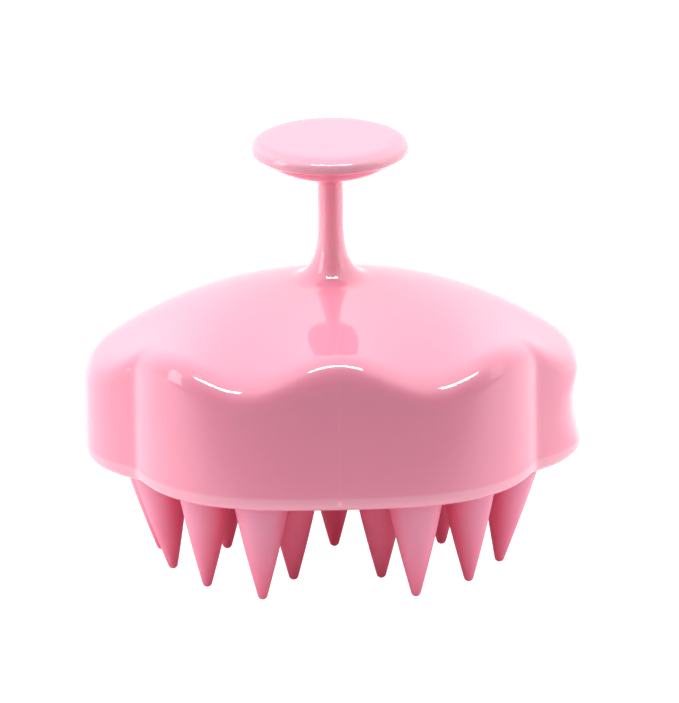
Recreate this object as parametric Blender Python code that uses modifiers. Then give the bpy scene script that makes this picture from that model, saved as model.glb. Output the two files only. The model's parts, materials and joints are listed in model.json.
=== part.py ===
"""Scalp massager brush: a glossy cover with a disc grip, over a pad of soft tapered bristles.

Metres, +Z up. The origin is the middle of the plane that the bristle tips stand on.
-Y is the front, where two fingertips rest in the scoops, and the thumb rests on the +X end.
"""
import math

import bmesh
import bpy

MM = 0.001
GAP = 0.3 * MM                    # clearance between neighbouring pieces
PAST = 1.0 * MM                   # how far a cutting shape runs past the face it cuts

# Driving dimensions
HALF_WIDTH = 39.1 * MM            # cover, centre to each end along X
HALF_DEPTH = 32.4 * MM            # cover, centre to front and back along Y
RIM_Z = 16.7 * MM                 # underside of the skirt above the bristle tips
SKIRT_WALL = 2.3 * MM             # cover thickness round the skirt
DOME_WALL = 2.5 * MM              # cover thickness over the dome
INNER_BEVEL = (1.5 * MM, 2.2 * MM)              # inside corner of the cover: inwards, downwards
DOME_Z = 45.0 * MM                # top of the dome at the stem
TOTAL_HEIGHT = 67.6 * MM          # bristle tips to disc top
DISC_RADIUS = 12.4 * MM
DISC_THICKNESS = 2.4 * MM         # at the disc's rounded edge
DISC_ROLL = (3.0 * MM, 1.7 * MM)  # soft top edge of the disc: inwards, downwards
DISC_UNDERCUT = 0.8 * MM          # small rounding under the edge
DISC_LENS = 3.0 * MM              # depth of the bulging underside below that edge
STEM_HALF_WIDTH = 2.05 * MM
STEM_HALF_DEPTH = 2.7 * MM
STEM_NECK = 2.2 * MM              # fillet between the stem and the disc's underside
FLARE_REACH = 5.2 * MM            # concave foot of the stem, outwards
FLARE_RISE = 9.0 * MM             # the same foot, upwards
PAD_Z = 18.0 * MM                 # underside of the silicone pad, level with the bristle hinges
PAD_FLOOR = 3.0 * MM
PAD_WALL = 1.5 * MM               # rim of the pad's tray
PAD_LIP = 1.2 * MM                # reach of the lip that hooks over the plate
PAD_LIP_THICKNESS = 0.8 * MM
PAD_BEVEL = 0.6 * MM
PLATE_THICKNESS = 2.0 * MM

# Plan outline: a wide front and back lobe crossed by a lobe at each end
FRONT_LOBE = (32.6 * MM, HALF_DEPTH, 2.9)       # half width, half depth, superellipse power
END_LOBE = (HALF_WIDTH, 22.0 * MM, 2.5)
CREASE_BLEND = 0.35 * MM                        # softness of the valley between two lobes

# Dome and front edge
END_DROP = 11.6 * MM              # fall of the dome from the middle to near each end
END_DROP_AT = 37.0 * MM
END_DROP_POWER = 2.2
BACK_DROP = 11.0 * MM             # fall of the dome from the middle to near the back edge
BACK_DROP_AT = 30.5 * MM
WAVE_BUMP_Z = 41.5 * MM           # the front edge is a wave: bump, dips and corners
WAVE_DIP_Z = 36.9 * MM
WAVE_DIP_AT = 16.5 * MM
WAVE_CORNER_Z = 39.8 * MM
WAVE_CORNER_AT = 27.0 * MM
WAVE_CORNER_FADE = 8.0 * MM       # beyond the corner the wave dies out over this distance
WAVE_FULL_AT = 29.0 * MM          # distance forward where the wave is full
WAVE_POWER = 1.8                  # how late the dome turns into the wave
SHOULDER_REACH = 4.2 * MM         # rounding between the dome and the skirt, inwards
SHOULDER_DROP = 3.0 * MM          # the same rounding, downwards
SHOULDER_STEEPEN = 0.55           # extra drop for each unit of height above the dips
LIP_RADIUS = 1.8 * MM             # rounding under the skirt

# Thumb rest on the +X end
THUMB_Z = 25.0 * MM
THUMB_HALF_HEIGHT = 7.2 * MM
THUMB_HALF_WIDTH = 13.0 * MM
THUMB_DEPTH = 1.2 * MM

# Bristles
OUTER_RING = 27.2 * MM            # seven tips on each side, spaced wider away from the X axis
OUTER_STEP = math.radians(19.2)
OUTER_WIDEN = math.radians(0.7)
INNER_RING = 16.9 * MM            # three tips on each side
INNER_STEP = math.radians(66.0)
END_LEAN = math.radians(6.0)      # the outer bristles at each end lean in
BRISTLE_SHOULDER = (4.35 * MM, 16.4 * MM)       # radius and height of the widest place
BRISTLE_TIP_RADIUS = 0.75 * MM
ROOT_RADIUS = 1.8 * MM            # rounded root that turns in the pad's socket
ROOT_NECK = 0.6 * MM              # straight length below the hinge, so the shoulder clears the pad

# Screws
SCREW_PLACE = (17.0 * MM, 15.5 * MM)
SCREW_HEAD_RADIUS = 2.45 * MM
SCREW_SHANK_RADIUS = 1.3 * MM
SCREW_LENGTH = 9.0 * MM
SCREW_HEAD_HEIGHT = 1.4 * MM
SCREW_HEAD_EDGE = 0.25 * MM       # upright edge round the countersunk head
SCREW_TAPER = 2.0 * MM            # length of the pointed end
SCREW_RECESS = (0.9 * MM, 0.5 * MM, 0.7 * MM)   # driver socket: mouth radius, floor radius, depth
SCREW_SUNK = 0.15 * MM            # head below the plate's underside
SINK_SLOPE_ROOM = 1.7 * GAP       # countersink is this much taller than the head's cone is wide
SINK_OFFSET = 0.47                # place of the countersink's middle, as a share of its depth
BOSS_RADIUS = 3.2 * MM
BOSS_HOLE_SPARE = 1.2 * MM        # room in the boss beyond the screw's point

COVER_PINK = (0.93, 0.38, 0.47, 1.0)
SILICONE_PINK = (0.72, 0.22, 0.30, 1.0)
PLATE_WHITE = (0.85, 0.83, 0.82, 1.0)
STEEL = (0.62, 0.62, 0.63, 1.0)


def clear_scene():
    for old in list(bpy.data.objects):
        bpy.data.objects.remove(old, do_unlink=True)


def new_collection(name):
    collection = bpy.data.collections.new(name)
    bpy.context.scene.collection.children.link(collection)
    return collection


def make_material(name, colour, roughness, metallic):
    material = bpy.data.materials.new(name)
    material.use_nodes = True
    shader = material.node_tree.nodes["Principled BSDF"]
    shader.inputs["Base Color"].default_value = colour
    shader.inputs["Roughness"].default_value = roughness
    shader.inputs["Metallic"].default_value = metallic
    return material


def add_object(name, mesh, collection, material=None):
    item = bpy.data.objects.new(name, mesh)
    collection.objects.link(item)
    if material is not None:
        mesh.materials.append(material)
    mesh.shade_smooth()
    mesh.set_sharp_from_angle(angle=math.radians(40))
    return item


# ---------------------------------------------------------------- outline

def superellipse(angle, half_x, half_y, power):
    """Radius of a superellipse in the direction of an angle."""
    across = abs(math.cos(angle) / half_x) ** power
    along = abs(math.sin(angle) / half_y) ** power
    return (across + along) ** (-1.0 / power)


def outline_radius(angle):
    """Radius of the skirt: the larger of the two lobes, softened where they meet."""
    first = superellipse(angle, *FRONT_LOBE)
    second = superellipse(angle, *END_LOBE)
    difference = first - second
    return 0.5 * (first + second + math.sqrt(difference * difference + CREASE_BLEND ** 2))


def crease_angle():
    """Angle from the X axis at which the two lobes cross, by bisection."""
    low = 0.0
    high = math.pi / 2
    for _ in range(40):
        middle = 0.5 * (low + high)
        if superellipse(middle, *FRONT_LOBE) < superellipse(middle, *END_LOBE):
            low = middle
        else:
            high = middle
    return low


def outline_angles(end_steps=5, front_steps=12):
    """Directions round the cover, closer together near each crease."""
    crease = crease_angle()
    quarter = [crease * (1.0 - (1.0 - i / end_steps) ** 1.5) for i in range(end_steps)]
    rest = math.pi / 2 - crease
    quarter += [crease + rest * (i / front_steps) ** 1.5 for i in range(front_steps)]
    angles = list(quarter)
    angles += [math.pi - a for a in reversed(quarter[1:])]
    angles.insert(len(quarter), math.pi / 2)
    half = list(angles)
    angles += [a + math.pi for a in half[:1]]
    angles += [2 * math.pi - a for a in reversed(half[1:])]
    return angles


# ---------------------------------------------------------------- heights

def smooth_step(value):
    value = min(1.0, max(0.0, value))
    return value * value * (3.0 - 2.0 * value)


def end_drop(x):
    """Fall of the dome from the stem towards an end, along the middle."""
    return END_DROP * (abs(x) / END_DROP_AT) ** END_DROP_POWER


def front_wave(x):
    """Height of the front edge: a bump in the middle, a dip for each fingertip, then a corner."""
    reach = abs(x)
    if reach < WAVE_DIP_AT:
        rise = WAVE_BUMP_Z - WAVE_DIP_Z
        share = 0.5 * (1.0 + math.cos(math.pi * reach / WAVE_DIP_AT))
    else:
        rise = WAVE_CORNER_Z - WAVE_DIP_Z
        share = smooth_step((reach - WAVE_DIP_AT) / (WAVE_CORNER_AT - WAVE_DIP_AT))
    return WAVE_DIP_Z + rise * share


def dome_height(x, y):
    """Height of the cover's top: a plain dome behind, turning into the front wave before the stem."""
    middle = DOME_Z - end_drop(x)
    if y >= 0:
        return middle - BACK_DROP * (y / BACK_DROP_AT) ** 2
    share = min(1.0, -y / WAVE_FULL_AT) ** WAVE_POWER
    share *= 1.0 - smooth_step((abs(x) - WAVE_CORNER_AT) / WAVE_CORNER_FADE)
    return middle + (front_wave(x) - middle) * share


def thumb_dent(angle, radius, z):
    """Depth of the thumb rest at a place on the skirt."""
    x = radius * math.cos(angle)
    y = radius * math.sin(angle)
    if x < 0:
        return 0.0
    reach = (y / THUMB_HALF_WIDTH) ** 2 + ((z - THUMB_Z) / THUMB_HALF_HEIGHT) ** 2
    return THUMB_DEPTH * max(0.0, 1.0 - reach) ** 1.5


def bend(first, corner, last, steps):
    """Points of a quadratic curve after its first point, up to and with its last."""
    points = []
    for i in range(1, steps + 1):
        t = i / steps
        a = (1 - t) * (1 - t)
        b = 2 * t * (1 - t)
        c = t * t
        points.append((a * first[0] + b * corner[0] + c * last[0],
                       a * first[1] + b * corner[1] + c * last[1]))
    return points


# ---------------------------------------------------------------- cover

def disc_section():
    """Radius and height from the disc's flat top round its edge to the start of the underside."""
    top = TOTAL_HEIGHT
    low = top - DISC_THICKNESS
    inwards, downwards = DISC_ROLL
    points = [(DISC_RADIUS - inwards, top)]
    points += bend(points[0], (DISC_RADIUS, top), (DISC_RADIUS, top - downwards), 3)
    points += bend(points[-1], (DISC_RADIUS, low), (DISC_RADIUS - DISC_UNDERCUT, low), 2)
    return points


def stem_radius(angle):
    return superellipse(angle, STEM_HALF_WIDTH, STEM_HALF_DEPTH, 2.0)


def shoulder_heights(angle, edge):
    """Where the dome's slope would meet the skirt, and where the upright wall starts."""
    step = 0.5 * MM
    edge_z = dome_height(edge * math.cos(angle), edge * math.sin(angle))
    before = edge - step
    before_z = dome_height(before * math.cos(angle), before * math.sin(angle))
    corner_z = edge_z + (edge_z - before_z) * SHOULDER_REACH / step
    drop = SHOULDER_DROP + SHOULDER_STEEPEN * max(0.0, corner_z - WAVE_DIP_Z)
    return corner_z, corner_z - drop


def outer_section(angle):
    """Radius and height from the disc top to the skirt's lowest edge, in one direction."""
    stem = stem_radius(angle)
    points = disc_section()
    lens_z = TOTAL_HEIGHT - DISC_THICKNESS - DISC_LENS
    neck = (stem + STEM_NECK, lens_z)
    points += bend(points[-1], (0.7 * DISC_RADIUS, lens_z), neck, 3)
    points += bend(neck, (stem, lens_z), (stem, lens_z - STEM_NECK), 2)
    join = stem + FLARE_REACH
    join_z = dome_height(join * math.cos(angle), join * math.sin(angle))
    flare_top = join_z + FLARE_RISE
    points.append((stem, 0.5 * (flare_top + lens_z)))
    points.append((stem, flare_top))
    points += bend((stem, flare_top), (stem, join_z), (join, join_z), 4)

    wall = outline_radius(angle)
    edge = wall - SHOULDER_REACH
    dome_steps = 7
    for i in range(1, dome_steps + 1):
        radius = join + (edge - join) * i / dome_steps
        points.append((radius, dome_height(radius * math.cos(angle), radius * math.sin(angle))))
    corner_z, wall_top = shoulder_heights(angle, edge)
    for radius, z in bend(points[-1], (wall, corner_z), (wall, wall_top), 4):
        points.append((radius - thumb_dent(angle, wall, z), z))
    wall_low = RIM_Z + LIP_RADIUS
    wall_steps = 5
    for i in range(1, wall_steps + 1):
        z = wall_top + (wall_low - wall_top) * i / wall_steps
        points.append((wall - thumb_dent(angle, wall, z), z))
    for i in range(1, 4):
        turn = math.radians(30 * i)
        points.append((wall - LIP_RADIUS * (1 - math.cos(turn)),
                       wall_low - LIP_RADIUS * math.sin(turn)))
    return points


def inner_radius(angle):
    """Inside radius of the skirt."""
    return outline_radius(angle) - SKIRT_WALL


def inner_section(angle):
    """Radius and height from the skirt's lowest edge back up to the middle of the dome."""
    inside = inner_radius(angle)
    lowest = RIM_Z + LIP_RADIUS
    edge = inside - INNER_BEVEL[0]
    edge_z = dome_height(edge * math.cos(angle), edge * math.sin(angle)) - DOME_WALL
    points = [(inside, lowest), (inside, edge_z - INNER_BEVEL[1]), (edge, edge_z)]
    steps = 5
    for i in range(1, steps):
        radius = edge * (1 - i / steps)
        height = dome_height(radius * math.cos(angle), radius * math.sin(angle))
        points.append((radius, height - DOME_WALL))
    return points


def loft(name, sections, angles, first_pole=None, last_pole=None):
    """A closed skin through rings of points; each ring's points share one direction list."""
    mesh = bpy.data.meshes.new(name)
    skin = bmesh.new()
    rings = []
    for level in range(len(sections[0])):
        ring = []
        for angle, section in zip(angles, sections):
            radius, z = section[level]
            ring.append(skin.verts.new((radius * math.cos(angle), radius * math.sin(angle), z)))
        rings.append(ring)
    count = len(angles)
    pairs = list(zip(rings, rings[1:]))
    if first_pole is None:
        pairs.append((rings[-1], rings[0]))
    for upper, lower in pairs:
        for i in range(count):
            j = (i + 1) % count
            skin.faces.new((upper[i], lower[i], lower[j], upper[j]))
    if first_pole is not None:
        start = skin.verts.new((0.0, 0.0, first_pole))
        end = skin.verts.new((0.0, 0.0, last_pole))
        for i in range(count):
            j = (i + 1) % count
            skin.faces.new((start, rings[0][i], rings[0][j]))
            skin.faces.new((end, rings[-1][j], rings[-1][i]))
    bmesh.ops.recalc_face_normals(skin, faces=skin.faces)
    skin.to_mesh(mesh)
    skin.free()
    return mesh


def add_boolean(item, cutter, operation):
    modifier = item.modifiers.new(cutter.name, "BOOLEAN")
    modifier.object = cutter
    modifier.operation = operation
    modifier.solver = "EXACT"


def hide_cutter(item):
    item.hide_render = True
    item.display_type = "WIRE"


def cylinder_mesh(name, places, radius, low, high, segments):
    """Upright cylinders at several places, as one mesh."""
    mesh = bpy.data.meshes.new(name)
    shape = bmesh.new()
    for x, y in places:
        made = bmesh.ops.create_cone(shape, cap_ends=True, segments=segments,
                                     radius1=radius, radius2=radius, depth=high - low)
        bmesh.ops.translate(shape, vec=(x, y, 0.5 * (low + high)), verts=made["verts"])
    shape.to_mesh(mesh)
    shape.free()
    return mesh


def screw_places():
    x, y = SCREW_PLACE
    return {"front_left": (-x, -y), "front_right": (x, -y), "back_left": (-x, y), "back_right": (x, y)}


def plate_bottom():
    return PAD_Z + PAD_FLOOR + GAP


def plate_top():
    return plate_bottom() + PLATE_THICKNESS


def make_cover(parts, cutters, material):
    """Finger disc, stem, dome, skirt and screw bosses: one moulding."""
    angles = outline_angles()
    sections = [outer_section(a) + inner_section(a) for a in angles]
    mesh = loft("cover", sections, angles, TOTAL_HEIGHT, DOME_Z - DOME_WALL)
    cover = add_object("cover", mesh, parts, material)
    boss_low = plate_top() + GAP
    for side, (x, y) in screw_places().items():
        boss_high = dome_height(x, y) - 0.5 * DOME_WALL
        boss = cylinder_mesh("boss_" + side, [(x, y)], BOSS_RADIUS, boss_low, boss_high, 20)
        boss = add_object("boss_" + side, boss, cutters)
        hide_cutter(boss)
        add_boolean(cover, boss, "UNION")
    hole_low = boss_low - PAST
    hole_high = plate_bottom() + SCREW_LENGTH + BOSS_HOLE_SPARE
    hole_radius = SCREW_SHANK_RADIUS + GAP
    holes = cylinder_mesh("boss_holes", screw_places().values(), hole_radius, hole_low, hole_high, 12)
    holes = add_object("boss_holes", holes, cutters)
    hide_cutter(holes)
    add_boolean(cover, holes, "DIFFERENCE")
    return cover


# ---------------------------------------------------------------- plate, pad and screws

def pad_angles():
    return outline_angles(3, 9)


def make_plate(parts, cutters, material):
    """Stiff plate that backs the pad and is screwed to the cover."""
    angles = pad_angles()
    low = plate_bottom()
    high = plate_top()
    sections = []
    for angle in angles:
        radius = inner_radius(angle) - 2 * GAP - PAD_WALL
        sections.append([(radius, high), (radius, low)])
    mesh = loft("support_plate", sections, angles, high, low)
    plate = add_object("support_plate", mesh, parts, material)
    sink_depth = SCREW_HEAD_RADIUS - SCREW_SHANK_RADIUS + SINK_SLOPE_ROOM
    slots = bmesh.new()
    for x, y in screw_places().values():
        narrow = SCREW_SHANK_RADIUS + GAP
        wide = narrow + sink_depth
        head = bmesh.ops.create_cone(slots, cap_ends=True, segments=16, radius1=wide, radius2=narrow,
                                     depth=sink_depth)
        bmesh.ops.translate(slots, vec=(x, y, low + SINK_OFFSET * sink_depth), verts=head["verts"])
    mesh = bpy.data.meshes.new("plate_countersinks")
    slots.to_mesh(mesh)
    slots.free()
    sinks = add_object("plate_countersinks", mesh, cutters)
    hide_cutter(sinks)
    add_boolean(plate, sinks, "DIFFERENCE")
    holes = cylinder_mesh("plate_holes", screw_places().values(), SCREW_SHANK_RADIUS + GAP,
                          low - PAST, high + PAST, 16)
    holes = add_object("plate_holes", holes, cutters)
    hide_cutter(holes)
    add_boolean(plate, holes, "DIFFERENCE")
    return plate


def pad_section(angle):
    """Underside edge, outer wall, lip over the plate, and inner tray, from below round to the top."""
    outside = inner_radius(angle) - GAP
    inside = outside - PAD_WALL
    lip = inside - PAD_LIP
    tray = PAD_Z + PAD_FLOOR
    lip_low = plate_top() + GAP
    lip_high = lip_low + PAD_LIP_THICKNESS
    return [(outside - PAD_BEVEL, PAD_Z), (outside, PAD_Z + PAD_BEVEL), (outside, lip_high),
            (lip, lip_high), (lip, lip_low), (inside, lip_low), (inside, tray)]


def make_pad(parts, cutters, material):
    """Silicone pad: a tray with a lip that hooks over the plate, and a socket for each bristle root."""
    angles = pad_angles()
    sections = [pad_section(a) for a in angles]
    mesh = loft("bristle_pad", sections, angles, PAD_Z, PAD_Z + PAD_FLOOR)
    pad = add_object("bristle_pad", mesh, parts, material)
    places = [place for _, place, _ in bristle_places()]
    sockets = cylinder_mesh("bristle_sockets", places, ROOT_RADIUS + 1.3 * GAP,
                            PAD_Z - PAST, PAD_Z + ROOT_RADIUS + GAP, 10)
    sockets = add_object("bristle_sockets", sockets, cutters)
    hide_cutter(sockets)
    add_boolean(pad, sockets, "DIFFERENCE")
    return pad


def turned_piece(name, profile, segments, collection, material):
    """A profile of (radius, height) pairs, top to bottom, turned about Z."""
    mesh = bpy.data.meshes.new(name)
    wire = bmesh.new()
    points = [wire.verts.new((radius, 0.0, z)) for radius, z in profile]
    for first, second in zip(points, points[1:]):
        wire.edges.new((first, second))
    wire.to_mesh(mesh)
    wire.free()
    item = add_object(name, mesh, collection, material)
    turn = item.modifiers.new("turn", "SCREW")
    turn.axis = "Z"
    turn.angle = 2 * math.pi
    turn.steps = segments
    turn.render_steps = segments
    turn.use_merge_vertices = True
    turn.merge_threshold = 0.00001
    turn.use_smooth_shade = True
    return item


def make_screw(name, place, parts, material):
    """Countersunk self-tapping screw with its head down in the plate."""
    head = SCREW_HEAD_RADIUS
    shank = SCREW_SHANK_RADIUS
    mouth, floor, depth = SCREW_RECESS
    profile = [(0.0, SCREW_LENGTH), (0.6 * shank, SCREW_LENGTH - 0.4 * SCREW_TAPER),
               (shank, SCREW_LENGTH - SCREW_TAPER), (shank, SCREW_HEAD_HEIGHT), (head, SCREW_HEAD_EDGE),
               (head, 0.0), (mouth, 0.0), (floor, depth), (0.0, depth)]
    screw = turned_piece(name, profile, 12, parts, material)
    screw.location = (place[0], place[1], plate_bottom() + SCREW_SUNK)
    return screw


# ---------------------------------------------------------------- bristles

def bristle_places():
    """Name, root place and inward lean of every bristle, numbered from the front on each side."""
    bristles = [("bristle_centre", (0.0, 0.0), 0.0)]
    for side, facing in (("left", -1.0), ("right", 1.0)):
        for i in (-1, 0, 1):
            angle = i * INNER_STEP
            place = (facing * INNER_RING * math.cos(angle), INNER_RING * math.sin(angle))
            bristles.append(("bristle_inner_%s_%d" % (side, i + 2), place, 0.0))
        for i in range(-3, 4):
            angle = i * (OUTER_STEP + OUTER_WIDEN * abs(i))
            lean = END_LEAN if abs(i) < 2 else 0.0
            reach = OUTER_RING * math.cos(angle) + PAD_Z * math.tan(lean)
            place = (facing * reach, OUTER_RING * math.sin(angle))
            bristles.append(("bristle_outer_%s_%d" % (side, i + 4), place, facing * lean))
    return bristles


def bristle_profile():
    """Rounded root above the hinge, sloping shoulder, straight taper and a blunt tip."""
    profile = []
    for i in range(4):
        turn = math.radians(30 * i)
        profile.append((ROOT_RADIUS * math.sin(turn), ROOT_RADIUS * math.cos(turn)))
    profile.append((ROOT_RADIUS, -ROOT_NECK))
    wide, height = BRISTLE_SHOULDER
    profile.append((wide, height - PAD_Z))
    tip = BRISTLE_TIP_RADIUS
    for turn in (20, 50):
        lean = math.radians(turn)
        profile.append((tip * math.cos(lean), tip - tip * math.sin(lean) - PAD_Z))
    profile.append((0.0, -PAD_Z))
    return profile


def make_bristles(parts, material):
    for name, (x, y), lean in bristle_places():
        bristle = turned_piece(name, bristle_profile(), 14, parts, material)
        bristle.location = (x, y, PAD_Z)
        bristle.rotation_euler = (0.0, lean, 0.0)


def build():
    clear_scene()
    parts = new_collection("scalp_massager_brush")
    cutters = new_collection("cutters")
    gloss = make_material("cover_gloss_pink", COVER_PINK, 0.16, 0.0)
    silicone = make_material("silicone_pink", SILICONE_PINK, 0.55, 0.0)
    plastic = make_material("plate_plastic", PLATE_WHITE, 0.45, 0.0)
    steel = make_material("screw_steel", STEEL, 0.3, 1.0)
    make_cover(parts, cutters, gloss)
    make_plate(parts, cutters, plastic)
    make_pad(parts, cutters, silicone)
    for side, place in screw_places().items():
        make_screw("plate_screw_" + side, place, parts, steel)
    make_bristles(parts, silicone)


build()
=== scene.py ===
"""Looks of the scalp massager brush: fine glossy cover, silicone pad and bristles, studio and camera."""
import json
import math

import bmesh
import bpy
from mathutils import Matrix, Vector


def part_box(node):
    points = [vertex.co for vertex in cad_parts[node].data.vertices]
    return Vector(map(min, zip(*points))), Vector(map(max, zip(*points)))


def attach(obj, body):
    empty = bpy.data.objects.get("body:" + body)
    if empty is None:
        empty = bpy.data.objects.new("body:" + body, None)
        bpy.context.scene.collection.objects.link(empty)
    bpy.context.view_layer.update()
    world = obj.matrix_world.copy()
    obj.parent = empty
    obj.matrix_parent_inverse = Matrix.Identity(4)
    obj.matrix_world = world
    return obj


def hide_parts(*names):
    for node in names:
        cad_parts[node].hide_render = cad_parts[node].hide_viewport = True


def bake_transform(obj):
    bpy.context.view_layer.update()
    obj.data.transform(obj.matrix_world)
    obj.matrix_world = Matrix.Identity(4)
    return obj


MM = 0.001

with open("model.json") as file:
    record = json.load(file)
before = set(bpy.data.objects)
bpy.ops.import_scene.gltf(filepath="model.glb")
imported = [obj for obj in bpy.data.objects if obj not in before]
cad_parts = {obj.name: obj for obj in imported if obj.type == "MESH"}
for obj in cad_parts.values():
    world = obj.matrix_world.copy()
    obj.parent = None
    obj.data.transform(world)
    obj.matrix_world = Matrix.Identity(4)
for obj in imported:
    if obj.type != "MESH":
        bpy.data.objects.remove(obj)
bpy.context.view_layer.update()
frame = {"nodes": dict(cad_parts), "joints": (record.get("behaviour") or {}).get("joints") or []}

# ---------------------------------------------------------------- sizes, as in the CAD model
cover_low, cover_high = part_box("cover")
pad_low, pad_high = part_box("bristle_pad")
HALF_WIDTH = 39.1 * MM
HALF_DEPTH = 32.4 * MM
RIM_Z = cover_low.z
TOTAL_HEIGHT = cover_high.z
PAD_Z = pad_low.z
SKIRT_WALL = 2.3 * MM
DOME_WALL = 2.5 * MM
DOME_Z = 45.0 * MM
DISC_RADIUS = 12.4 * MM
DISC_THICKNESS = 2.4 * MM
DISC_ROLL = (3.0 * MM, 1.7 * MM)
DISC_UNDERCUT = 0.8 * MM
DISC_LENS = 3.0 * MM
DISC_LENS_STEER = 0.7             # how far out the underside's bulge runs flat, as a share
STEM_HALF_WIDTH = 2.05 * MM
STEM_HALF_DEPTH = 2.7 * MM
STEM_NECK = 2.2 * MM
FLARE_REACH = 5.2 * MM
FLARE_RISE = 9.0 * MM
FRONT_LOBE = (32.6 * MM, HALF_DEPTH, 2.9)
END_LOBE = (HALF_WIDTH, 22.0 * MM, 2.5)
CREASE_BLEND = 0.7 * MM           # a little softer than the CAD valley
END_DROP = 11.6 * MM
END_DROP_AT = 37.0 * MM
END_DROP_POWER = 2.2
BACK_DROP = 11.0 * MM
BACK_DROP_AT = 30.5 * MM
WAVE_BUMP_Z = 41.5 * MM
WAVE_DIP_Z = 36.9 * MM
WAVE_DIP_AT = 16.5 * MM
WAVE_CORNER_Z = 39.8 * MM
WAVE_CORNER_AT = 27.0 * MM
WAVE_CORNER_FADE = 8.0 * MM
WAVE_FULL_AT = 29.0 * MM
WAVE_POWER = 1.8
SHOULDER_REACH = 4.2 * MM
SHOULDER_DROP = 3.0 * MM
SHOULDER_STEEPEN = 0.55
LIP_RADIUS = 1.8 * MM
PAINTED_REFLECTION_HEIGHT = 2.1 * MM            # painted reflection: paler band round the foot of the skirt
PAINTED_REFLECTION_FADE = 0.5 * MM
INNER_BEVEL = (2.0 * MM, 2.4 * MM)              # inside corner of the cover: inwards, downwards
INNER_EDGE_RISE = 0.15 * MM       # inner edge of the skirt above its lowest line
THUMB_Z = 25.0 * MM
THUMB_HALF_HEIGHT = 7.2 * MM
THUMB_HALF_WIDTH = 13.0 * MM
THUMB_DEPTH = 1.2 * MM
PAD_GAP = 0.3 * MM                # clearance round the pad
PAD_ROUNDING = 1.2 * MM           # lower edge of the pad
PAD_BEVEL = 0.4 * MM              # upper edge of the pad
PAD_RIM = 2.7 * MM                # width of the rim round the pad's tray
PAD_FLOOR = 2.9 * MM
BRISTLE_FOOT = 5.3 * MM           # radius where the bristle leaves the pad
BRISTLE_WIDE = 4.75 * MM          # radius that the foot's curve steers to
BRISTLE_TOP = (4.6 * MM, 0.9 * MM)              # start of the taper: radius, depth below the pad
BRISTLE_SUNK = 0.4 * MM           # how far the foot starts inside the pad
BRISTLE_TIP = 0.78 * MM
BRISTLE_FLANK = math.radians(14.5)              # slope of the flank where it meets the tip
BRISTLE_BOW = 0.16 * MM           # swelling halfway down the taper


# ---------------------------------------------------------------- shape of the cover

def superellipse(angle, half_x, half_y, power):
    """Radius of a superellipse in the direction of an angle."""
    across = abs(math.cos(angle) / half_x) ** power
    along = abs(math.sin(angle) / half_y) ** power
    return (across + along) ** (-1.0 / power)


def outline_radius(angle):
    """Radius of the skirt: the larger of the two lobes, softened where they meet."""
    first = superellipse(angle, *FRONT_LOBE)
    second = superellipse(angle, *END_LOBE)
    difference = first - second
    return 0.5 * (first + second + math.sqrt(difference * difference + CREASE_BLEND ** 2))


def crease_angle():
    """Angle from the X axis at which the two lobes cross, by bisection."""
    low = 0.0
    high = math.pi / 2
    for _ in range(40):
        middle = 0.5 * (low + high)
        if superellipse(middle, *FRONT_LOBE) < superellipse(middle, *END_LOBE):
            low = middle
        else:
            high = middle
    return low


def outline_angles(end_steps, front_steps):
    """Directions round the cover, closer together near each crease."""
    crease = crease_angle()
    rest = math.pi / 2 - crease
    quarter = [crease * (1.0 - (1.0 - i / end_steps) ** 1.5) for i in range(end_steps)]
    quarter += [crease + rest * (i / front_steps) ** 1.5 for i in range(front_steps)]
    half = quarter + [math.pi / 2] + [math.pi - a for a in reversed(quarter[1:])]
    return half + [math.pi] + [2 * math.pi - a for a in reversed(half[1:])]


def smooth_step(value):
    value = min(1.0, max(0.0, value))
    return value * value * (3.0 - 2.0 * value)


def end_drop(x):
    """Fall of the dome from the stem towards an end, along the middle."""
    return END_DROP * (abs(x) / END_DROP_AT) ** END_DROP_POWER


def front_wave(x):
    """Height of the front edge: a bump in the middle, a dip for each fingertip, then a corner."""
    reach = abs(x)
    if reach < WAVE_DIP_AT:
        rise = WAVE_BUMP_Z - WAVE_DIP_Z
        share = 0.5 * (1.0 + math.cos(math.pi * reach / WAVE_DIP_AT))
    else:
        rise = WAVE_CORNER_Z - WAVE_DIP_Z
        share = smooth_step((reach - WAVE_DIP_AT) / (WAVE_CORNER_AT - WAVE_DIP_AT))
    return WAVE_DIP_Z + rise * share


def dome_height(x, y):
    """Height of the cover's top: a plain dome behind, turning into the front wave before the stem."""
    middle = DOME_Z - end_drop(x)
    if y >= 0:
        return middle - BACK_DROP * (y / BACK_DROP_AT) ** 2
    share = min(1.0, -y / WAVE_FULL_AT) ** WAVE_POWER
    share *= 1.0 - smooth_step((abs(x) - WAVE_CORNER_AT) / WAVE_CORNER_FADE)
    return middle + (front_wave(x) - middle) * share


def thumb_dent(angle, radius, z):
    """Depth of the thumb rest at a place on the skirt."""
    x = radius * math.cos(angle)
    y = radius * math.sin(angle)
    if x < 0:
        return 0.0
    reach = (y / THUMB_HALF_WIDTH) ** 2 + ((z - THUMB_Z) / THUMB_HALF_HEIGHT) ** 2
    return THUMB_DEPTH * max(0.0, 1.0 - reach) ** 1.5


def bend(first, corner, last, steps):
    """Points of a quadratic curve after its first point, up to and with its last."""
    points = []
    for i in range(1, steps + 1):
        t = i / steps
        a = (1 - t) * (1 - t)
        b = 2 * t * (1 - t)
        c = t * t
        points.append((a * first[0] + b * corner[0] + c * last[0],
                       a * first[1] + b * corner[1] + c * last[1]))
    return points


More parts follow.
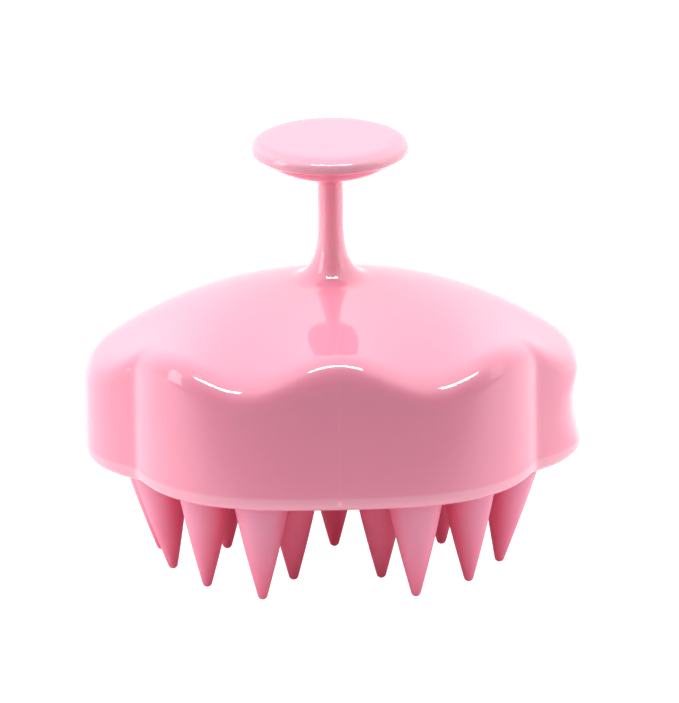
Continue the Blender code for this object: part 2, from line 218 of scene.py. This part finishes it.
def disc_section():
    """Radius and height from the disc's flat top round its edge to the start of the underside."""
    top = TOTAL_HEIGHT
    low = top - DISC_THICKNESS
    inwards, downwards = DISC_ROLL
    flat = DISC_RADIUS - inwards
    flat_steps = 8
    points = [(flat * i / flat_steps, top) for i in range(1, flat_steps + 1)]
    points += bend(points[-1], (DISC_RADIUS, top), (DISC_RADIUS, top - downwards), steps=14)
    points += bend(points[-1], (DISC_RADIUS, low), (DISC_RADIUS - DISC_UNDERCUT, low), steps=8)
    return points


def shoulder_heights(angle, edge):
    """Where the dome's slope would meet the skirt, and where the upright wall starts."""
    step = 0.5 * MM
    edge_z = dome_height(edge * math.cos(angle), edge * math.sin(angle))
    before = edge - step
    before_z = dome_height(before * math.cos(angle), before * math.sin(angle))
    corner_z = edge_z + (edge_z - before_z) * SHOULDER_REACH / step
    drop = SHOULDER_DROP + SHOULDER_STEEPEN * max(0.0, corner_z - WAVE_DIP_Z)
    return corner_z, corner_z - drop


def outer_section(angle):
    """Radius and height from the disc top to the skirt's lowest edge, in one direction."""
    stem = superellipse(angle, STEM_HALF_WIDTH, STEM_HALF_DEPTH, 2.0)
    points = disc_section()
    lens_z = TOTAL_HEIGHT - DISC_THICKNESS - DISC_LENS
    neck = (stem + STEM_NECK, lens_z)
    points += bend(points[-1], (DISC_LENS_STEER * DISC_RADIUS, lens_z), neck, steps=16)
    points += bend(neck, (stem, lens_z), (stem, lens_z - STEM_NECK), steps=8)
    join = stem + FLARE_REACH
    join_z = dome_height(join * math.cos(angle), join * math.sin(angle))
    flare_top = join_z + FLARE_RISE
    stem_top = points[-1][1]
    stem_steps = 6
    for i in range(1, stem_steps + 1):
        points.append((stem, stem_top + (flare_top - stem_top) * i / stem_steps))
    points += bend((stem, flare_top), (stem, join_z), (join, join_z), steps=14)

    wall = outline_radius(angle)
    edge = wall - SHOULDER_REACH
    dome_steps = 44
    for i in range(1, dome_steps + 1):
        radius = join + (edge - join) * i / dome_steps
        points.append((radius, dome_height(radius * math.cos(angle), radius * math.sin(angle))))
    corner_z, wall_top = shoulder_heights(angle, edge)
    for radius, z in bend(points[-1], (wall, corner_z), (wall, wall_top), steps=16):
        points.append((radius - thumb_dent(angle, wall, z), z))
    wall_low = RIM_Z + LIP_RADIUS
    wall_steps = 26
    for i in range(1, wall_steps + 1):
        z = wall_top + (wall_low - wall_top) * i / wall_steps
        points.append((wall - thumb_dent(angle, wall, z), z))
    lip_steps = 10
    for i in range(1, lip_steps + 1):
        turn = math.pi / 2 * i / lip_steps
        points.append((wall - LIP_RADIUS * (1 - math.cos(turn)),
                       wall_low - LIP_RADIUS * math.sin(turn)))
    return points


def inner_radius(angle):
    """Inside radius of the skirt."""
    return outline_radius(angle) - SKIRT_WALL


def inner_section(angle):
    """Radius and height from the skirt's lowest edge back up to the middle of the dome."""
    inside = inner_radius(angle)
    inwards, downwards = INNER_BEVEL
    edge = inside - inwards
    edge_z = dome_height(edge * math.cos(angle), edge * math.sin(angle)) - DOME_WALL
    points = [(inside, RIM_Z + INNER_EDGE_RISE)]
    points += bend((inside, edge_z - downwards), (inside, edge_z), (edge, edge_z), steps=5)
    steps = 12
    for i in range(1, steps):
        radius = edge * (1 - i / steps)
        height = dome_height(radius * math.cos(angle), radius * math.sin(angle))
        points.append((radius, height - DOME_WALL))
    return points


def loft(name, sections, angles, first_pole, last_pole):
    """A closed skin through rings of (radius, height) points, capped at both poles."""
    mesh = bpy.data.meshes.new(name)
    skin = bmesh.new()
    rings = []
    for level in range(len(sections[0])):
        ring = []
        for angle, section in zip(angles, sections):
            radius, z = section[level]
            ring.append(skin.verts.new((radius * math.cos(angle), radius * math.sin(angle), z)))
        rings.append(ring)
    count = len(angles)
    for upper, lower in zip(rings, rings[1:]):
        for i in range(count):
            j = (i + 1) % count
            skin.faces.new((upper[i], lower[i], lower[j], upper[j]))
    start = skin.verts.new((0.0, 0.0, first_pole))
    end = skin.verts.new((0.0, 0.0, last_pole))
    for i in range(count):
        j = (i + 1) % count
        skin.faces.new((start, rings[0][i], rings[0][j]))
        skin.faces.new((end, rings[-1][j], rings[-1][i]))
    bmesh.ops.recalc_face_normals(skin, faces=skin.faces)
    skin.to_mesh(mesh)
    skin.free()
    mesh.shade_smooth()
    return mesh


def add_piece(name, mesh, material):
    """A visible piece with one material."""
    piece = bpy.data.objects.new(name, mesh)
    bpy.context.scene.collection.objects.link(piece)
    mesh.materials.clear()
    mesh.materials.append(material)
    return piece


# ---------------------------------------------------------------- materials

GLOSS_PINK = ((0.88, 0.285, 0.405, 1), (0.89, 0.30, 0.42, 1))     # two ends of a faint flow pattern
# pale pink for the moulding marks, and for the painted highlight and painted reflection on the cover
PALE_PINK = (1.0, 0.62, 0.70, 1)
# painted shade and painted light: one silicone colour in a shaded and a lit copy
SILICONE_PAINTED_SHADE = (0.86, 0.145, 0.26, 1)
SILICONE_PAINTED_LIT = (0.84, 0.36, 0.50, 1)
PLATE_WHITE = ((0.84, 0.82, 0.80, 1), (0.90, 0.88, 0.86, 1))
STEEL = ((0.55, 0.55, 0.56, 1), (0.70, 0.70, 0.71, 1))


class NodeTree:
    """Short helper for building a material's nodes."""

    def __init__(self, name):
        self.material = bpy.data.materials.new(name)
        self.material.use_nodes = True
        self.nodes = self.material.node_tree.nodes
        self.links = self.material.node_tree.links
        self.shader = self.nodes["Principled BSDF"]
        self.coordinates = self.nodes.new("ShaderNodeTexCoord").outputs["Object"]

    def feed(self, socket, value):
        """Put a value, or another node's output, into an input."""
        if hasattr(value, "is_output"):
            self.links.new(value, socket)
        else:
            socket.default_value = value

    def set(self, **values):
        """Inputs of the shader by name, with a low line for each space."""
        for key, value in values.items():
            self.feed(self.shader.inputs[key.replace("_", " ")], value)

    def noise(self, scale, detail=2.0):
        """Cloudy pattern fixed to the object."""
        node = self.nodes.new("ShaderNodeTexNoise")
        node.inputs["Scale"].default_value = scale
        node.inputs["Detail"].default_value = detail
        self.links.new(self.coordinates, node.inputs["Vector"])
        return node.outputs["Fac"]

    def remap(self, source, low, high, start=0.0, end=1.0):
        """A source that runs from start to end, run from low to high instead."""
        node = self.nodes.new("ShaderNodeMapRange")
        node.inputs["From Min"].default_value = start
        node.inputs["From Max"].default_value = end
        node.inputs["To Min"].default_value = low
        node.inputs["To Max"].default_value = high
        self.links.new(source, node.inputs["Value"])
        return node.outputs["Result"]

    def span(self, source, start, end):
        """Zero at one value, one at another, smooth in between."""
        result = self.remap(source, 0.0, 1.0, start, end)
        result.node.interpolation_type = "SMOOTHSTEP"
        return result

    def mix(self, factor, first, second):
        """Blend of two colours."""
        node = self.nodes.new("ShaderNodeMix")
        node.data_type = "RGBA"
        self.links.new(factor, node.inputs["Factor"])
        self.feed(node.inputs["A"], first)
        self.feed(node.inputs["B"], second)
        return node.outputs["Result"]

    def math(self, operation, *values):
        """Result of one arithmetic step on outputs or numbers."""
        node = self.nodes.new("ShaderNodeMath")
        node.operation = operation
        for i, value in enumerate(values):
            self.feed(node.inputs[i], value)
        return node.outputs["Value"]

    def strongest(self, shares):
        """Largest of several masks, each times its own amount."""
        total = None
        for mask, amount in shares:
            share = self.math("MULTIPLY", mask, amount)
            total = share if total is None else self.math("MAXIMUM", total, share)
        return total

    def axis(self, name):
        """Place along one axis of the object, in metres."""
        node = self.nodes.new("ShaderNodeSeparateXYZ")
        self.links.new(self.coordinates, node.inputs["Vector"])
        return node.outputs[name]

    def nearness(self, place, reach):
        """One within a distance of a place on the object, otherwise zero."""
        node = self.nodes.new("ShaderNodeVectorMath")
        node.operation = "DISTANCE"
        self.links.new(self.coordinates, node.inputs[0])
        node.inputs[1].default_value = place
        return self.math("LESS_THAN", node.outputs["Value"], reach)

    def openness(self, distance):
        """How much open space a place on the surface looks out on."""
        node = self.nodes.new("ShaderNodeAmbientOcclusion")
        node.inputs["Distance"].default_value = distance
        return node.outputs["AO"]

    def bump(self, height, strength, distance):
        """Fine relief on the surface."""
        node = self.nodes.new("ShaderNodeBump")
        node.inputs["Strength"].default_value = strength
        node.inputs["Distance"].default_value = distance
        self.links.new(height, node.inputs["Height"])
        self.links.new(node.outputs["Normal"], self.shader.inputs["Normal"])


def gloss_pink():
    """High-gloss moulded ABS: faint parting line and gate mark in front; painted highlight on the stem and
    the disc's rim, painted reflection at the foot of the skirt.
    """
    tree = NodeTree("gloss_pink")
    height = tree.axis("Z")
    lens_z = TOTAL_HEIGHT - DISC_THICKNESS - DISC_LENS
    disc_low = TOTAL_HEIGHT - DISC_THICKNESS

    middle = tree.math("COMPARE", tree.axis("X"), 0.0, 0.1 * MM)
    front = tree.math("LESS_THAN", tree.axis("Y"), -0.7 * HALF_DEPTH)
    parting_line = tree.math("MULTIPLY", middle, front)
    gate_mark = tree.nearness((0.0, -HALF_DEPTH, RIM_Z + 1.5 * MM), 0.45 * MM)
    # painted reflection: pale band along the foot of the skirt, standing for the bright table mirrored in
    # the lip
    skirt_painted_reflection = tree.span(height, RIM_Z + PAINTED_REFLECTION_HEIGHT + PAINTED_REFLECTION_FADE, RIM_Z + PAINTED_REFLECTION_HEIGHT)
    # stem mask: sets the stem's painted highlight and the light scattering inside it
    above_dome = tree.span(height, DOME_Z - 1.0 * MM, DOME_Z + 5.0 * MM)
    below_disc = tree.span(height, lens_z, lens_z - STEM_NECK)
    stem = tree.math("MULTIPLY", above_dome, below_disc)
    # painted highlight along the disc's rim
    above_underside = tree.span(height, disc_low - 0.4 * MM, disc_low + 0.6 * MM)
    below_top = tree.span(height, TOTAL_HEIGHT - 0.1 * MM, TOTAL_HEIGHT - 0.7 * MM)
    disc_rim_painted_highlight = tree.math("MULTIPLY", above_underside, below_top)
    # pale pink mix: parting line and gate mark are moulding marks; the stem, disc rim and skirt foot carry
    # painted highlight and painted reflection
    marks_and_painted_highlights = tree.strongest([(parting_line, 0.06), (gate_mark, 0.6), (skirt_painted_reflection, 0.27),
                               (stem, 0.5), (disc_rim_painted_highlight, 0.4)])

    pink = tree.mix(tree.remap(tree.noise(45.0), 0.3, 0.7), *GLOSS_PINK)
    tree.set(Base_Color=tree.mix(marks_and_painted_highlights, pink, PALE_PINK))
    tree.set(Roughness=tree.remap(tree.noise(220.0, 4.0), 0.03, 0.05))
    tree.bump(tree.noise(130.0), 0.04, 0.2 * MM)
    tree.set(IOR=1.5, Coat_Weight=0.3, Coat_Roughness=0.02)
    tree.set(Subsurface_Weight=tree.remap(stem, 0.12, 0.66))
    tree.set(Subsurface_Scale=4.0 * MM, Subsurface_Radius=(1.0, 0.35, 0.45))
    return tree.material


def silicone():
    """Matte, slightly see-through silicone rubber whose colour carries painted shade: pale where it is open
    to light, deep in between.
    """
    tree = NodeTree("silicone")
    cloud = tree.remap(tree.noise(90.0, 3.0), -0.06, 0.06)
    # painted shade: ambient occlusion deepens the colour where bristles and pad hem the surface in
    light = tree.remap(tree.openness(30.0 * MM), 0.0, 1.0, start=0.18, end=0.72)
    share = tree.math("ADD", light, cloud)
    tree.set(Base_Color=tree.mix(share, SILICONE_PAINTED_SHADE, SILICONE_PAINTED_LIT))
    tree.set(Roughness=tree.remap(tree.noise(700.0, 4.0), 0.36, 0.50))
    tree.bump(tree.noise(1400.0, 3.0), 0.12, 0.1 * MM)
    tree.set(IOR=1.45, Subsurface_Weight=0.4, Subsurface_Scale=3.0 * MM)
    tree.set(Subsurface_Radius=(1.0, 0.25, 0.35))
    return tree.material


def plate_plastic():
    """Plain moulded polypropylene with a fine grain."""
    tree = NodeTree("plate_plastic")
    tree.set(Base_Color=tree.mix(tree.noise(60.0), *PLATE_WHITE))
    tree.set(Roughness=tree.remap(tree.noise(900.0, 4.0), 0.4, 0.55))
    tree.bump(tree.noise(1200.0), 0.1, 0.1 * MM)
    return tree.material


def screw_steel():
    """Stainless steel with small streaks."""
    tree = NodeTree("screw_steel")
    streak = tree.noise(1500.0, 4.0)
    tree.set(Base_Color=tree.mix(streak, *STEEL), Roughness=tree.remap(streak, 0.22, 0.38), Metallic=1.0)
    return tree.material


# ---------------------------------------------------------------- pieces

def make_cover():
    """Disc, stem, dome and skirt as one skin."""
    angles = outline_angles(end_steps=30, front_steps=62)
    sections = [outer_section(a) + inner_section(a) for a in angles]
    mesh = loft("cover_skin", sections, angles, TOTAL_HEIGHT, DOME_Z - DOME_WALL)
    cover = add_piece("cover_skin", mesh, gloss_pink())
    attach(cover, "head")
    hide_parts("cover")
    return cover


def make_pad(material):
    """Silicone sheet inside the skirt, with a soft rounded edge."""
    angles = outline_angles(end_steps=14, front_steps=30)
    tray = PAD_Z + PAD_FLOOR
    sections = []
    for angle in angles:
        edge = inner_radius(angle) - PAD_GAP
        start = (edge - PAD_ROUNDING, PAD_Z)
        rim = edge - PAD_RIM
        section = [(edge * 0.5, PAD_Z), start]
        section += bend(start, (edge, PAD_Z), (edge, PAD_Z + PAD_ROUNDING), steps=6)
        section += [(edge, pad_high.z - PAD_BEVEL), (edge - PAD_BEVEL, pad_high.z)]
        section += [(rim, pad_high.z), (rim, tray), (rim * 0.5, tray)]
        sections.append(section)
    mesh = loft("pad_skin", sections, angles, PAD_Z, tray)
    pad = add_piece("pad_skin", mesh, material)
    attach(pad, "head")
    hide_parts("bristle_pad")
    return pad


def bristle_profile():
    """Root fillet, slightly bowed taper and blunt tip, as (radius, height) from the pad down."""
    start_z = PAD_Z + BRISTLE_SUNK
    top = (BRISTLE_TOP[0], PAD_Z - BRISTLE_TOP[1])
    profile = [(BRISTLE_FOOT * 0.5, start_z), (BRISTLE_FOOT, start_z)]
    profile += bend(profile[-1], (BRISTLE_WIDE, PAD_Z - 0.1 * MM), top, steps=6)
    end = (BRISTLE_TIP * math.cos(BRISTLE_FLANK), BRISTLE_TIP * (1.0 - math.sin(BRISTLE_FLANK)))
    taper_steps = 18
    for i in range(1, taper_steps + 1):
        t = i / taper_steps
        bow = BRISTLE_BOW * math.sin(math.pi * t)
        profile.append((top[0] + (end[0] - top[0]) * t + bow, top[1] + (end[1] - top[1]) * t))
    tip_steps = 7
    for i in range(1, tip_steps):
        lean = BRISTLE_FLANK + (math.pi / 2 - BRISTLE_FLANK) * i / tip_steps
        profile.append((BRISTLE_TIP * math.cos(lean), BRISTLE_TIP * (1.0 - math.sin(lean))))
    return profile


def make_bristle(joint, material, profile):
    """One tapered bristle growing out of the pad, leaning as its CAD solid does."""
    name = joint["child"]
    root = Vector(joint["pos_m"])
    tip = min((v.co for v in frame["nodes"][name].data.vertices), key=lambda place: place.z)
    lean = Vector((0.0, 0.0, -1.0)).rotation_difference(tip - root)
    count = 40
    angles = [2 * math.pi * i / count for i in range(count)]
    mesh = loft(name + "_skin", [profile] * count, angles, profile[0][1], 0.0)
    mesh.transform(Matrix.Translation((0.0, 0.0, -PAD_Z)))
    mesh.transform(Matrix.Translation(root) @ lean.to_matrix().to_4x4())
    piece = add_piece(name + "_skin", mesh, material)
    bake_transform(piece)
    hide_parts(name)
    return piece


def dress_plate_and_screws():
    """Materials for the hidden pieces, which keep their CAD shape."""
    plastic = plate_plastic()
    steel = screw_steel()
    for name, node in frame["nodes"].items():
        finish = None
        if name == "support_plate":
            finish = plastic
        if name.startswith("plate_screw"):
            finish = steel
        if finish is not None:
            node.data.materials.clear()
            node.data.materials.append(finish)


# ---------------------------------------------------------------- studio

VIEW_ELEVATION = math.radians(18.5)
VIEW_TURN = math.radians(1.6)
VIEW_ROLL = math.radians(0.67)
VIEW_DISTANCE = 2.0
VIEW_HEIGHT = 110.4 * MM           # height of the picture at the object
VIEW_SHIFT = (0.0105, -0.0057)     # object's offset from the picture's middle, as shares of its height
VIEW_TARGET = Vector((0.0, 0.0, 33.0 * MM))
TABLE_REACH = 3.0                  # from the middle to each edge, in metres
TABLE_DROP = 0.1 * MM              # below the bristle tips
TABLE_TURN = (-100.0 * MM, -45.0 * MM)          # painted shade: grey in front of this strip, white behind it
TABLE_PAINTED_SHADE_GREY = (0.20, 0.20, 0.21, 1)
TABLE_WHITE = (0.95, 0.95, 0.95, 1)


def make_camera():
    """Long lens, a little above level, framed as the photo is."""
    data = bpy.data.cameras.new("camera")
    data.sensor_width = 36.0
    data.lens = data.sensor_width * VIEW_DISTANCE / VIEW_HEIGHT
    data.shift_x, data.shift_y = VIEW_SHIFT
    data.clip_end = 20.0
    camera = bpy.data.objects.new("camera", data)
    bpy.context.scene.collection.objects.link(camera)
    flat = math.cos(VIEW_ELEVATION)
    direction = Vector((-flat * math.sin(VIEW_TURN), -flat * math.cos(VIEW_TURN), math.sin(VIEW_ELEVATION)))
    look = (-direction).to_track_quat("-Z", "Y").to_matrix().to_4x4()
    camera.matrix_world = (Matrix.Translation(VIEW_TARGET + direction * VIEW_DISTANCE) @ look
                           @ Matrix.Rotation(-VIEW_ROLL, 4, "Z"))
    bpy.context.scene.camera = camera


def make_light(name, place, size, power, glint=False):
    """Rectangular light aimed at the brush; a glint shows in the gloss without lighting it."""
    data = bpy.data.lights.new(name, "AREA")
    data.shape = "RECTANGLE"
    data.size, data.size_y = size
    data.energy = power
    light = bpy.data.objects.new(name, data)
    bpy.context.scene.collection.objects.link(light)
    light.location = place
    light.visible_diffuse = not glint
    aim = VIEW_TARGET - Vector(place)
    light.rotation_euler = aim.to_track_quat("-Z", "Y").to_euler()


def make_world():
    """White tent: bright above, behind and at the sides, dim towards the camera."""
    world = bpy.data.worlds.new("studio")
    bpy.context.scene.world = world
    world.use_nodes = True
    nodes = world.node_tree.nodes
    links = world.node_tree.links
    coordinates = nodes.new("ShaderNodeTexCoord")
    split = nodes.new("ShaderNodeSeparateXYZ")
    links.new(coordinates.outputs["Generated"], split.inputs["Vector"])

    def ramp(axis, start, end, low, high):
        node = nodes.new("ShaderNodeMapRange")
        node.interpolation_type = "SMOOTHSTEP"
        node.inputs["From Min"].default_value = start
        node.inputs["From Max"].default_value = end
        node.inputs["To Min"].default_value = low
        node.inputs["To Max"].default_value = high
        links.new(split.outputs[axis], node.inputs["Value"])
        return node.outputs["Result"]

    def combine(operation, first, second):
        node = nodes.new("ShaderNodeMath")
        node.operation = operation
        links.new(first, node.inputs[0])
        links.new(second, node.inputs[1])
        return node.outputs["Value"]

    depth = ramp("Y", -0.80, -0.18, 0.10, 1.25)
    height = ramp("Z", 0.0, 0.95, 1.0, 1.6)
    tent = combine("MULTIPLY", depth, height)
    path = nodes.new("ShaderNodeLightPath")
    backdrop = combine("MAXIMUM", tent, path.outputs["Is Camera Ray"])
    links.new(backdrop, nodes["Background"].inputs["Strength"])
    nodes["Background"].inputs["Color"].default_value = (1, 1, 1, 1)


def make_floor():
    """Table top, white behind and grey in front as painted shade for the dim camera side; the camera sees
    the white backdrop instead.
    """
    mesh = bpy.data.meshes.new("table")
    shape = bmesh.new()
    bmesh.ops.create_grid(shape, x_segments=1, y_segments=1, size=TABLE_REACH)
    shape.to_mesh(mesh)
    shape.free()
    floor = bpy.data.objects.new("table", mesh)
    bpy.context.scene.collection.objects.link(floor)
    floor.location.z = -TABLE_DROP
    floor.visible_camera = False
    tree = NodeTree("table")
    behind = tree.span(tree.axis("Y"), *TABLE_TURN)
    # painted shade: the table is grey towards the camera, where the studio is dim
    tree.set(Base_Color=tree.mix(behind, TABLE_PAINTED_SHADE_GREY, TABLE_WHITE), Roughness=0.8)
    mesh.materials.append(tree.material)


def make_studio():
    """Everything round the brush."""
    make_world()
    make_floor()
    make_light("front_strip", place=(0.0, -0.30, 0.80), size=(0.66, 0.10), power=5.5, glint=True)
    make_light("left_bank", place=(-0.8, -0.15, 0.30), size=(0.3, 0.6), power=1.8)
    make_light("right_bank", place=(0.8, -0.15, 0.30), size=(0.3, 0.6), power=0.5)
    make_camera()


bpy.context.scene.view_settings.view_transform = "Standard"
make_cover()
rubber = silicone()
make_pad(rubber)
taper = bristle_profile()
for joint in frame["joints"]:
    make_bristle(joint, rubber, taper)
dress_plate_and_screws()
make_studio()
